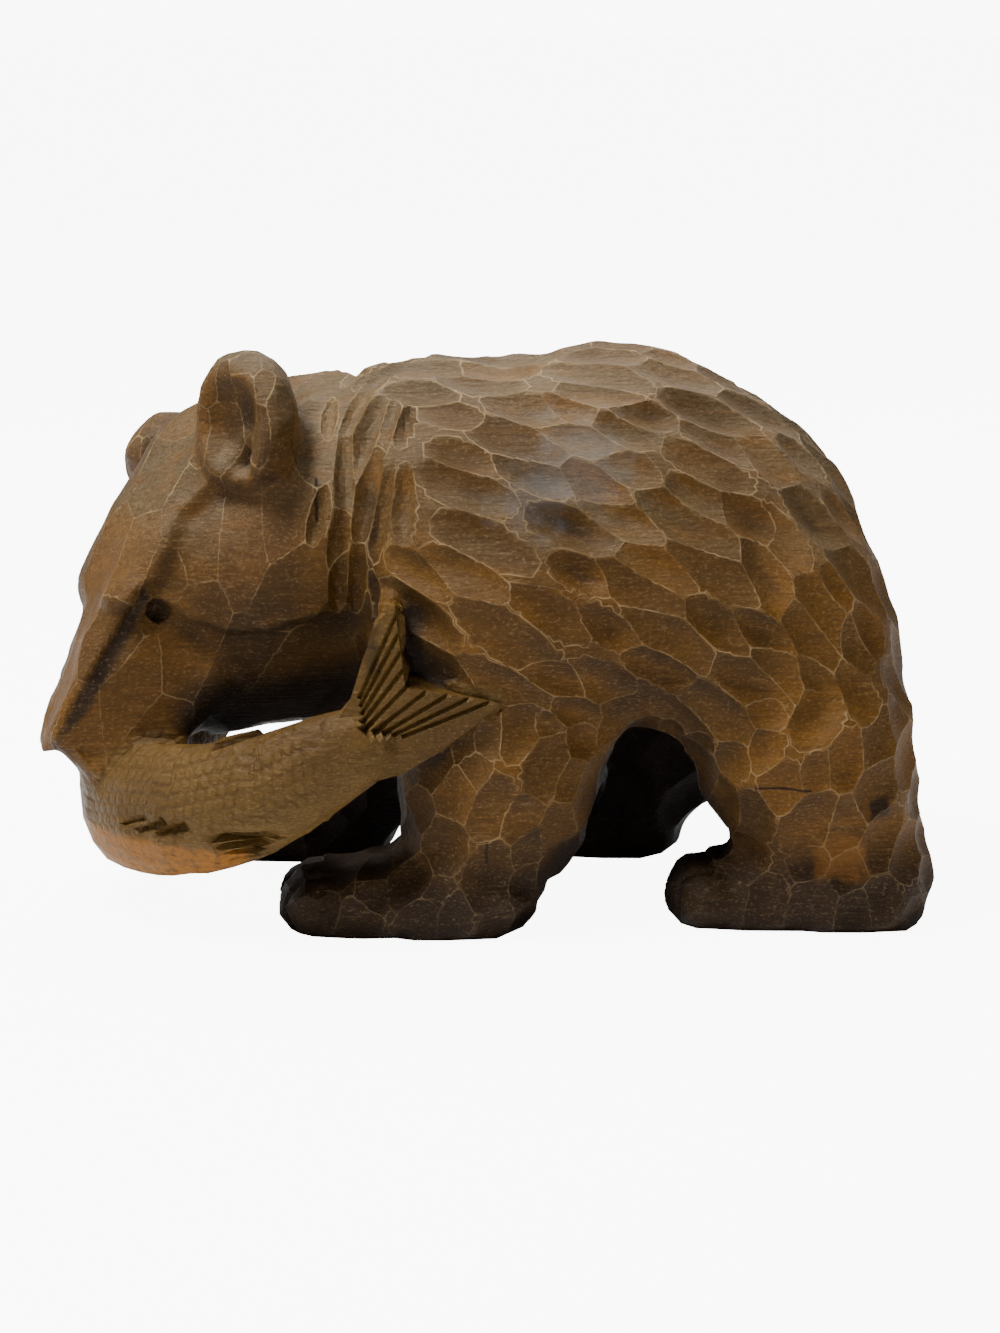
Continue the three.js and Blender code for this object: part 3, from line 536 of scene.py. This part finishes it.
def still(places):
    """How firmly each vertex of the coarse form stays when it is rounded"""
    fish, fin, hold, _, _ = zones(places)
    hold = hold - 0.45 * fish * (1 - fin) * (places[:, 2] < 0.05)
    for centre, reach in ((NEAR_EAR, 0.028), (FAR_EAR, 0.024)):
        hold = np.maximum(hold, 0.85 * smooth(reach - np.linalg.norm(places - centre, axis=1), -0.004, 0.004))
    forward = head_share(places)[:, 0]
    return np.maximum(hold, 0.6 * smooth(forward, 0.03, 0.06) * (places[:, 0] < -0.085))


def rounded(places, edges, hold, times):
    """Smooths the form without shrinking it; held vertices stay"""
    free = (1 - hold)[:, None]
    for _ in range(times):
        for step in ROUNDING_STEPS:
            places = places + (spread(places, edges) - places) * step * free
    return places


def stroke_kind(place, sizes):
    """Direction, length, width and depth of a gouge stroke at a place"""
    x, y, z = place
    long, wide, deep = sizes.gouge_length, sizes.gouge_width, sizes.gouge_depth
    forward, across, _ = head_share(place[None])[0]
    on_near_ear = np.linalg.norm(place - NEAR_EAR) < NEAR_EAR_REACH
    on_far_ear = np.linalg.norm(place - FAR_EAR) < FAR_EAR_REACH
    on_face = x < FACE_BACK and z > FACE_FOOT and abs(across) < 0.052 and -0.045 < forward < 0.12
    in_ruff = x < RUFF_BACK and z > RUFF_FOOT
    on_leg = z < LEG_TOP and (abs(y) > 0.014 or z < 0.05)
    if on_near_ear or on_far_ear:
        return (0.2, 0.1, 1), long * 0.7, wide * 0.9, deep * 0.2
    if on_face:
        side = smooth(abs(across), 0.012, 0.02)
        return tuple(ALONG_HEAD + 0.35 * ACROSS_HEAD * side), long * 1.4, wide * 1.6, deep * 0.3
    if in_ruff:
        return (0.12, 0.2, 1), long * 1.0, wide * 0.62, deep * 1.05
    if on_leg:
        return (0.35, 0.2, 1), long * 0.7, wide * 1.15, deep * 0.85
    if x > RUMP_FRONT:
        return (1, 0.2, -1.9), long, wide * 1.05, deep
    return (1, 0.1, -0.62), long, wide, deep


class Strokes:
    """Seeded gouge strokes over a surface; where two meet a ridge stands"""

    def __init__(self, places, normals, hold, sizes):
        rng = np.random.default_rng(STROKE_SEED)
        rows = []
        # A row per stroke: its place, its run, its side and its normal, each over its size that way
        metric = np.zeros((0, 12))
        for i in rng.permutation(np.flatnonzero(hold < 0.5))[:STROKE_TRIES]:
            run, long, wide, deep = stroke_kind(places[i], sizes)
            grown = rng.uniform(0.72, 1.3)
            long, wide = long * grown, wide * grown ** 0.5
            n = normals[i]
            run = np.array(run) / np.linalg.norm(run) + rng.uniform(-0.12, 0.12, 3)
            run -= n * (run @ n)
            run /= np.linalg.norm(run)
            gap = places[i] - metric[:, :3]
            s = (gap * metric[:, 3:6]).sum(1)
            t = (gap * metric[:, 6:9]).sum(1)
            h = (gap * metric[:, 9:12]).sum(1)
            if (s * s + t * t + h * h > 1).all():
                side = np.cross(n, run)
                new = np.concatenate([places[i], run / long, side / wide, n / (wide * 0.9)])
                metric = np.vstack([metric, new])
                rows.append((
                    deep * rng.uniform(0.8, 1.2), rng.uniform(-0.1, 0.14),
                    rng.uniform(-0.05, 0.75), rng.random(),
                ))
        self.metric = metric
        self.deep, self.lead, self.tilt, self.tone = np.array(rows).T

    def cut(self, k, places, normals):
        """Depth that stroke k cuts at the places"""
        m = self.metric[k]
        gap = places - m[..., :3]
        s = (gap * m[..., 3:6]).sum(-1)
        t = (gap * m[..., 6:9]).sum(-1)
        h = (gap * m[..., 9:12]).sum(-1)
        n = m[..., 9:12]
        facing = (normals * n).sum(-1) / np.linalg.norm(n, axis=-1)
        bowl = BOWL_MIDDLE + self.lead[k] + self.tilt[k] * s - s * s - t * t
        bowl = bowl - np.maximum(0, np.abs(h) - 0.7) ** 2
        return self.deep[k] * bowl - AWAY_FADE * (1 - smooth(facing, 0.1, 0.6))

    def deepest(self, places, normals):
        """Deepest cut and its stroke for each place"""
        best = np.full(len(places), SHALLOWEST)
        owner = np.zeros(len(places), int)
        for k in range(len(self.deep)):
            near = np.flatnonzero(np.abs(places - self.metric[k, :3]).max(1) < STROKE_REACH)
            depth = self.cut(k, places[near], normals[near])
            wins = depth > best[near]
            best[near[wins]] = depth[wins]
            owner[near[wins]] = k
        return best, owner


def ridged(places, normals, faces, owner, strokes):
    """Splits the faces that two or three strokes share along the ridges between them"""
    pairs = {}
    between = []

    def ridge_point(a, b):
        key = (min(a, b), max(a, b))
        if key not in pairs:
            pairs[key] = len(places) + len(between)
            between.append(key)
        return pairs[key]

    out = []
    for face in faces.tolist():
        a, b, c = face
        oa, ob, oc = owner[a], owner[b], owner[c]
        if oa == ob == oc:
            out.append(face)
        elif oa != ob and ob != oc and oa != oc:
            ab, bc, ca = ridge_point(a, b), ridge_point(b, c), ridge_point(c, a)
            out += [[a, ab, ca], [b, bc, ab], [c, ca, bc], [ab, bc, ca]]
        else:
            if oa == oc:
                a, b, c = b, c, a
            elif oa == ob:
                a, b, c = c, a, b
            ab, ac = ridge_point(a, b), ridge_point(a, c)
            out += [[a, ab, ac], [ab, b, c], [ab, c, ac]]
    # The ridge stands where the cuts of the two strokes are equally deep
    a, b = np.array(between).T
    at_a = strokes.cut(owner[a], places[a], normals[a]) - strokes.cut(owner[b], places[a], normals[a])
    at_b = strokes.cut(owner[a], places[b], normals[b]) - strokes.cut(owner[b], places[b], normals[b])
    share = np.clip(at_a / np.maximum(at_a - at_b, 1e-9), 0.12, 0.88)[:, None]
    middle = places[a] + (places[b] - places[a]) * share
    middle_normals = normals[a] + (normals[b] - normals[a]) * share
    middle_normals /= np.linalg.norm(middle_normals, axis=1, keepdims=True)
    return np.vstack([places, middle]), np.vstack([normals, middle_normals]), np.array(out), len(places)


def vertex_normals(places, faces):
    """Area-weighted normals of the vertices"""
    a, b, c = (places[faces[:, i]] for i in range(3))
    cross = np.cross(b - a, c - a)
    total = np.zeros_like(places)
    for i in range(3):
        for d in range(3):
            total[:, d] += np.bincount(faces[:, i], cross[:, d], len(places))
    return total / np.maximum(np.linalg.norm(total, axis=1, keepdims=True), 1e-12)


def shaded(places, coarse):
    """How much of the sky each place loses to the carving around it, seen from the coarse mesh"""
    tree = BVHTree.FromPolygons([v.co for v in coarse.vertices], [p.vertices for p in coarse.polygons])
    rng = np.random.default_rng(SKY_SEED)
    rays = rng.normal(size=(SKY_RAYS, 3))
    rays /= np.linalg.norm(rays, axis=1, keepdims=True)
    lookup = KDTree(len(coarse.vertices))
    lost = []
    for i, vertex in enumerate(coarse.vertices):
        lookup.insert(vertex.co, i)
        start = vertex.co + vertex.normal * RAY_LIFT
        hits = total = 0.0
        for ray in rays:
            up = ray @ np.array(vertex.normal)
            ray = Vector(ray if up > 0 else -ray)
            reach = tree.ray_cast(start, ray, RAY_LENGTH)[3]
            towards_floor = ray.z < -0.25 and vertex.co.z < 0.05
            hits += abs(up) * (reach is not None or towards_floor)
            total += abs(up)
        lost.append(hits / total)
    lookup.balance()
    out = np.empty(len(places))
    for i, place in enumerate(places):
        near = lookup.find_n(place, 4)
        share = [1 / (gap + 0.001) for _, _, gap in near]
        out[i] = sum(lost[j] * w for (_, j, _), w in zip(near, share)) / sum(share)
    return out


def divide(bm, edges):
    """Halves the edges and keeps every face a triangle"""
    bmesh.ops.subdivide_edges(bm, edges=edges, cuts=1, use_grid_fill=True)
    bmesh.ops.triangulate(bm, faces=[face for face in bm.faces if len(face.verts) > 3])


def rounded_form(sizes):
    """The solid's mesh, and its form rounded and divided, finer along the face's lines and the claws"""
    bm = merged_copy(NODE)
    coarse = bpy.data.meshes.new("coarse")
    bm.to_mesh(coarse)
    places, edges = mesh_arrays(coarse)
    places = rounded(places, edges, still(places), COARSE_PASSES)
    for vertex, place in zip(bm.verts, places):
        vertex.co = place
    for limit in (4, 2, 1):
        divide(bm, [edge for edge in bm.edges if edge.calc_length() > sizes.finest_edge * limit])
    middles = np.array([(edge.verts[0].co + edge.verts[1].co) / 2 for edge in bm.edges])
    lengths = np.array([edge.calc_length() for edge in bm.edges])
    drawn = (face_planes(middles)[1] < LINE_NEAR) | (claw_cuts(middles) > 0)
    chosen = set(np.flatnonzero(drawn & (lengths > sizes.finest_edge * LINE_EDGE)).tolist())
    divide(bm, [edge for i, edge in enumerate(bm.edges) if i in chosen])
    fine = bpy.data.meshes.new("fine")
    bm.to_mesh(fine)
    bm.free()
    places, edges = mesh_arrays(fine)
    hold = zones(places)[2]
    places = rounded(places, edges, hold, FINE_PASSES)
    faces = np.empty(len(fine.polygons) * 3, np.int64)
    fine.polygons.foreach_get("vertices", faces)
    faces = faces.reshape(-1, 3)
    normals = spread(vertex_normals(places, faces), edges, NORMAL_PASSES)
    normals /= np.linalg.norm(normals, axis=1, keepdims=True)
    return coarse, places, normals, faces, hold


class CarvedBearBuild(bpy.types.Operator):
    """Builds the bear and its salmon from the solid"""

    bl_idname = "carved_bear.bear"
    bl_label = "Carved bear and salmon"

    def execute(self, context):
        sizes = context.scene.carved_bear_sizes
        coarse, places, normals, faces, hold = rounded_form(sizes)
        strokes = Strokes(places, normals, hold, sizes)
        owner = strokes.deepest(places, normals)[1]
        places, normals, faces, first_ridge = ridged(places, normals, faces, owner, strokes)
        depth, owner = strokes.deepest(places, normals)
        fish, fin, hold, along, above = zones(places)
        salmon = np.maximum(fish, fin)
        floor = smooth(places[:, 2], 0.0005, 0.004)
        step, line_gap, keen_edge_shade = face_planes(places)
        claws = claw_cuts(places)
        ridge = np.zeros(len(places))
        ridge[first_ridge:] = 1
        ridge *= (1 - hold) * floor
        ridge = np.maximum(ridge, np.clip(0.82 - line_gap / LINE_WEAR, 0, 1) * (1 - salmon))
        cut = depth * (1 - hold) * floor + step * (1 - salmon) + claws
        places = places - normals * cut[:, None] + swelling(places) * (1 - fish)[:, None]
        places = np.clip(places, LOW - BOX_SLACK, HIGH + BOX_SLACK)
        places[:, 2] = np.maximum(places[:, 2], 0)
        mesh = bpy.data.meshes.new("carving")
        mesh.from_pydata(places, [], faces)
        mesh.validate()
        mesh.update()
        # Painted shade: the share of sky that the coarse carving hides from each place
        add_value(mesh, "shade", shaded(places, coarse) * (1 - 0.65 * salmon))
        add_value(mesh, "tone", strokes.tone[owner] * (1 - hold) + 0.5 * hold)
        # Painted shade beside the muzzle's keen edge and in the claw cuts
        self.mark(mesh, ridge, fish, fin, along, above, np.maximum(keen_edge_shade, smooth(claws, 0.0003, 0.0012)))
        mesh.materials.append(carved_wood(context.scene.carved_bear_colours, sizes))
        mesh.shade_smooth()
        mesh.set_sharp_from_angle(angle=sizes.ridge_angle)
        piece = bpy.data.objects.new("carving", mesh)
        context.collection.objects.link(piece)
        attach(piece, "root")
        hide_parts(NODE)
        return {"FINISHED"}

    def mark(self, mesh, ridge, fish, fin, along, above, drawn_shade):
        """Numbers on the vertices that steer the stain, the painted shade, the wear and the scales"""
        places, edges = mesh_arrays(mesh)
        normals = np.empty(len(places) * 3)
        mesh.vertices.foreach_get("normal", normals)
        normals = normals.reshape(-1, 3)
        add_value(mesh, "ridge", ridge)
        # Painted shade in the broad hollows of the form
        wide = ((places - spread(places, edges, 30)) * normals).sum(1)
        add_value(mesh, "hollow", smooth(-spread(wide, edges, 3), 0.0005, 0.0022) * (1 - 0.8 * fin))
        x, y, z = places.T
        add_value(mesh, "weather", smooth(z, 0.085, 0.155) * smooth(normals[:, 2], -0.3, 0.5))
        fish = np.maximum(fish, fin)
        belly = fish * short_of(z, 0.0335, 0.0012) * smooth(-x, 0.075, 0.079)
        add_value(mesh, "fish", fish)
        add_value(mesh, "belly", belly)
        add_value(mesh, "fish_along", along)
        add_value(mesh, "fish_across", above + 0.05)
        add_value(mesh, "scaled", fish * (1 - fin) * (above > -0.006) * (along > 0.012))
        # Dark zones: painted shade on undersides, inner and far legs, throat, face sides and behind the paw;
        # feet darker towards the bottom; stain on the head
        bear = 1 - fish
        forward, across, _ = head_share(places).T
        under = smooth(-normals[:, 2], -0.2, 0.7) * bear
        feet = short_of(z, 0.048, 0.040) * 0.95 * bear
        inner_legs_shade = short_of(np.abs(y - 0.002), 0.030, 0.02) * short_of(z, 0.085, 0.03) * bear
        far_legs_shade = smooth(y, -0.004, 0.008) * short_of(normals[:, 1], 0.4, 0.3) * short_of(z, 0.086, 0.02)
        far_legs_shade *= bear * 0.95
        throat_shade = short_of(x, -0.03, 0.02) * past(x, -0.112, 0.02) * short_of(z, 0.094, 0.024)
        throat_shade *= smooth(z, 0.046, 0.056) * bear
        # Painted shade on the face's side planes, which turn away from the light above
        face = smooth(forward, -0.05, -0.03) * smooth(np.abs(across), 0.012, 0.022)
        face *= smooth(-x, 0.05, 0.065) * bear * smooth(0.2 - normals[:, 2], -0.4, 0.3) * 0.48
        head = 0.34 * smooth(-x, 0.05, 0.065) * smooth(z, 0.05, 0.06) * bear
        behind_paw_shade = smooth(-x, 0.03, 0.04) * short_of(z, 0.056, 0.01) * smooth(y, -0.034, -0.026) * bear
        stain = np.maximum.reduce([
            under * 0.7, feet, inner_legs_shade, far_legs_shade, throat_shade, face, head, behind_paw_shade, drawn_shade,
        ])
        add_value(mesh, "stain", np.clip(stain, 0, 1))


class CarvedBearStage(bpy.types.Operator):
    """Sets the floor, the lights and the camera"""

    bl_idname = "carved_bear.stage"
    bl_label = "Studio stage"

    def execute(self, context):
        colours = context.scene.carved_bear_colours
        bpy.ops.mesh.primitive_plane_add(size=12, location=(0, 2, 0))
        floor = context.object
        floor.name = "floor"
        pale = bpy.data.materials.new("pale_floor")
        pale.use_nodes = True
        floor_nodes = Nodes(pale.node_tree)
        shader = pale.node_tree.nodes["Principled BSDF"]
        shader.inputs["Base Color"].default_value = (*colours.floor, 1)
        shader.inputs["Roughness"].default_value = 0.9
        seen = floor_nodes.add("ShaderNodeLightPath").outputs["Is Camera Ray"]
        glow = floor_nodes.add("ShaderNodeEmission", {"Color": (*colours.floor, 1), "Strength": SEEN_WHITE})
        blend = floor_nodes.add("ShaderNodeMixShader", {
            0: floor_nodes.math("MULTIPLY", seen, SEEN_SHARE), 1: shader.outputs[0], 2: glow.outputs[0]})
        floor_nodes.put(pale.node_tree.nodes["Material Output"].inputs[0], blend.outputs[0])
        floor.data.materials.append(pale)
        world = bpy.data.worlds.new("studio")
        context.scene.world = world
        world.use_nodes = True
        sky_nodes = Nodes(world.node_tree)
        sky = world.node_tree.nodes["Background"]
        sky.inputs["Color"].default_value = (*colours.floor, 1)
        seen = sky_nodes.add("ShaderNodeLightPath").outputs["Is Camera Ray"]
        sky_nodes.put(sky.inputs["Strength"], sky_nodes.math(
            "MULTIPLY_ADD", seen, SEEN_WHITE * SEEN_SHARE, SKY_STRENGTH))
        for name, place, size, power in LAMPS:
            data = bpy.data.lights.new(name, "AREA")
            data.shape = "SQUARE"
            data.size = size
            data.energy = power
            lamp = bpy.data.objects.new(name, data)
            lamp.location = place
            lamp.rotation_euler = (Vector(LAMP_AIM) - Vector(place)).to_track_quat("-Z", "Y").to_euler()
            context.collection.objects.link(lamp)
        back = Vector((
            math.sin(CAMERA_AZIMUTH) * math.cos(CAMERA_ELEVATION),
            -math.cos(CAMERA_AZIMUTH) * math.cos(CAMERA_ELEVATION),
            math.sin(CAMERA_ELEVATION),
        ))
        data = bpy.data.cameras.new("camera")
        data.lens = CAMERA_LENS
        data.shift_y = CAMERA_SHIFT
        camera = bpy.data.objects.new("camera", data)
        camera.location = Vector(CAMERA_AIM) + back * CAMERA_DISTANCE
        camera.rotation_euler = (-back).to_track_quat("-Z", "Y").to_euler()
        context.collection.objects.link(camera)
        context.scene.camera = camera
        return {"FINISHED"}


class CarvedBearPanel(bpy.types.Panel):
    """Lists the sizes, the colours and the builders"""

    bl_idname = "VIEW3D_PT_carved_bear"
    bl_label = "Carved bear"
    bl_space_type = "VIEW_3D"
    bl_region_type = "UI"
    bl_category = "Carved bear"

    def draw(self, context):
        for group in (context.scene.carved_bear_sizes, context.scene.carved_bear_colours):
            for name in group.__annotations__:
                self.layout.prop(group, name)
        self.layout.operator("carved_bear.bear")
        self.layout.operator("carved_bear.stage")


CLASSES = (CarvedBearSizes, CarvedBearColours, CarvedBearBuild, CarvedBearStage, CarvedBearPanel)


def register():
    """Adds the classes and their settings to Blender"""
    for cls in CLASSES:
        bpy.utils.register_class(cls)
    bpy.types.Scene.carved_bear_sizes = bpy.props.PointerProperty(type=CarvedBearSizes)
    bpy.types.Scene.carved_bear_colours = bpy.props.PointerProperty(type=CarvedBearColours)


def unregister():
    """Takes them out again"""
    del bpy.types.Scene.carved_bear_sizes
    del bpy.types.Scene.carved_bear_colours
    for cls in reversed(CLASSES):
        bpy.utils.unregister_class(cls)


def main():
    """Builds the carving and its stage"""
    register()
    bpy.ops.carved_bear.bear()
    bpy.ops.carved_bear.stage()


if __name__ == "__main__":
    main()
